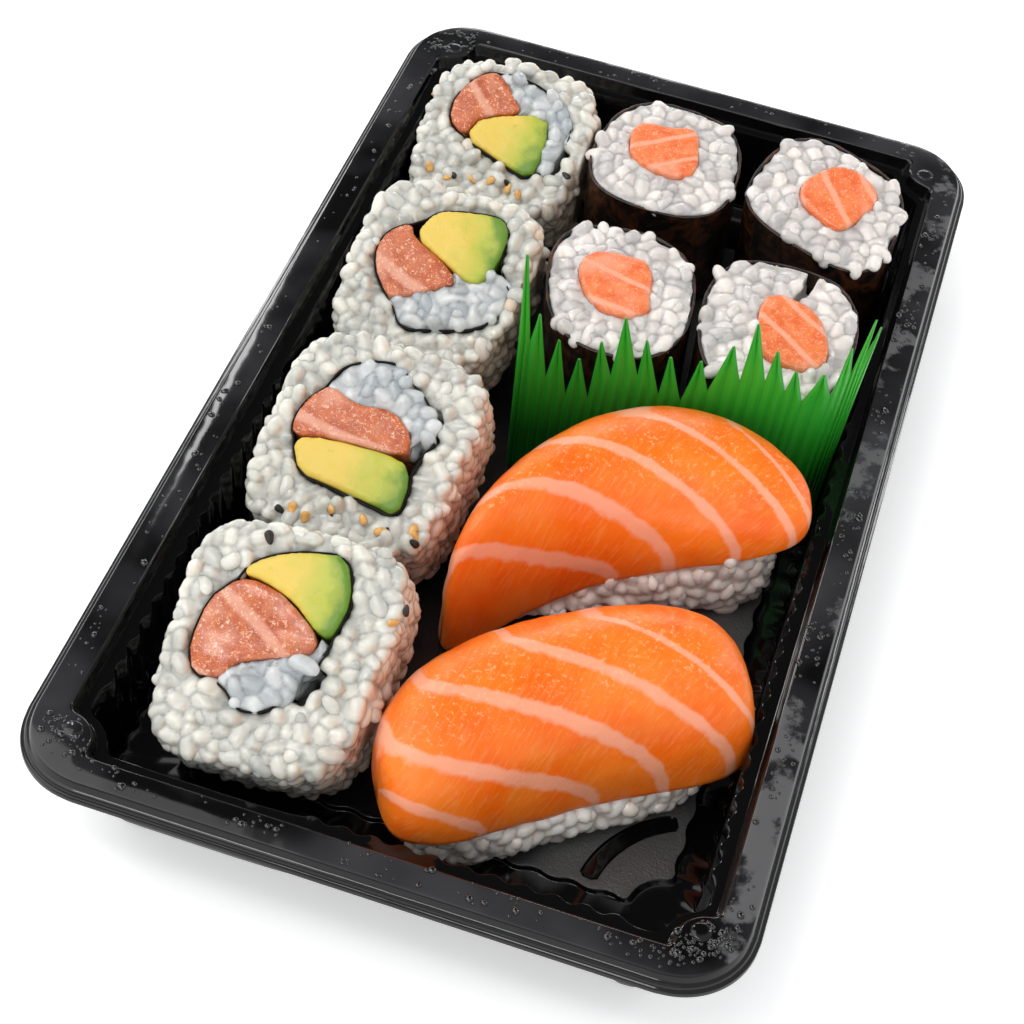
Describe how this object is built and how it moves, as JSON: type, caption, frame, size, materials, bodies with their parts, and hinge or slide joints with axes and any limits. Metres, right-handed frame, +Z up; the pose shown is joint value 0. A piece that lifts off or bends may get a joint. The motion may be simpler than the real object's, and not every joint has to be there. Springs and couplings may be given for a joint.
{
  "type": "takeaway sushi tray",
  "caption": "Black rectangular takeaway tray with a lipped rim and ribbed walls, filled with cut sushi rolls, salmon nigiri and a green plastic grass divider.",
  "frame": {"origin": "centre of the tray's footprint, on the surface it rests on", "axes": "+Z up, +Y along the tray's long side from the nigiri end towards the rolls at the far end, +X along its short side towards the small rolls"},
  "size_m": [0.1186, 0.205, 0.048],
  "materials": {
    "black_plastic": "glossy black thermoformed sheet, matte on the floor pad",
    "green_plastic": "bright green thin film",
    "rice": null,
    "nori": "thin, slightly shiny dark seaweed sheet",
    "salmon": null,
    "avocado": null
  },
  "bodies": {
    "root": {"tray": "black_plastic", "uramaki_1_outer_rice": "rice", "uramaki_1_nori": "nori", "uramaki_1_avocado": "avocado", "uramaki_1_salmon": "salmon", "uramaki_1_inner_rice": "rice", "uramaki_2_outer_rice": "rice", "uramaki_2_nori": "nori", "uramaki_2_avocado": "avocado", "uramaki_2_salmon": "salmon", "uramaki_2_inner_rice": "rice", "uramaki_3_outer_rice": "rice", "uramaki_3_nori": "nori", "uramaki_3_avocado": "avocado", "uramaki_3_salmon": "salmon", "uramaki_3_inner_rice": "rice", "uramaki_4_outer_rice": "rice", "uramaki_4_nori": "nori", "uramaki_4_avocado": "avocado", "uramaki_4_salmon": "salmon", "uramaki_4_inner_rice": "rice", "hosomaki_1_nori": "nori", "hosomaki_1_rice": "rice", "hosomaki_1_salmon": "salmon", "hosomaki_2_nori": "nori", "hosomaki_2_rice": "rice", "hosomaki_2_salmon": "salmon", "hosomaki_3_nori": "nori", "hosomaki_3_rice": "rice", "hosomaki_3_salmon": "salmon", "hosomaki_4_nori": "nori", "hosomaki_4_rice": "rice", "hosomaki_4_salmon": "salmon", "nigiri_far_rice": "rice", "nigiri_far_salmon": "salmon", "nigiri_near_rice": "rice", "nigiri_near_salmon": "salmon", "grass_divider": "green_plastic"}
  },
  "joints": []
}
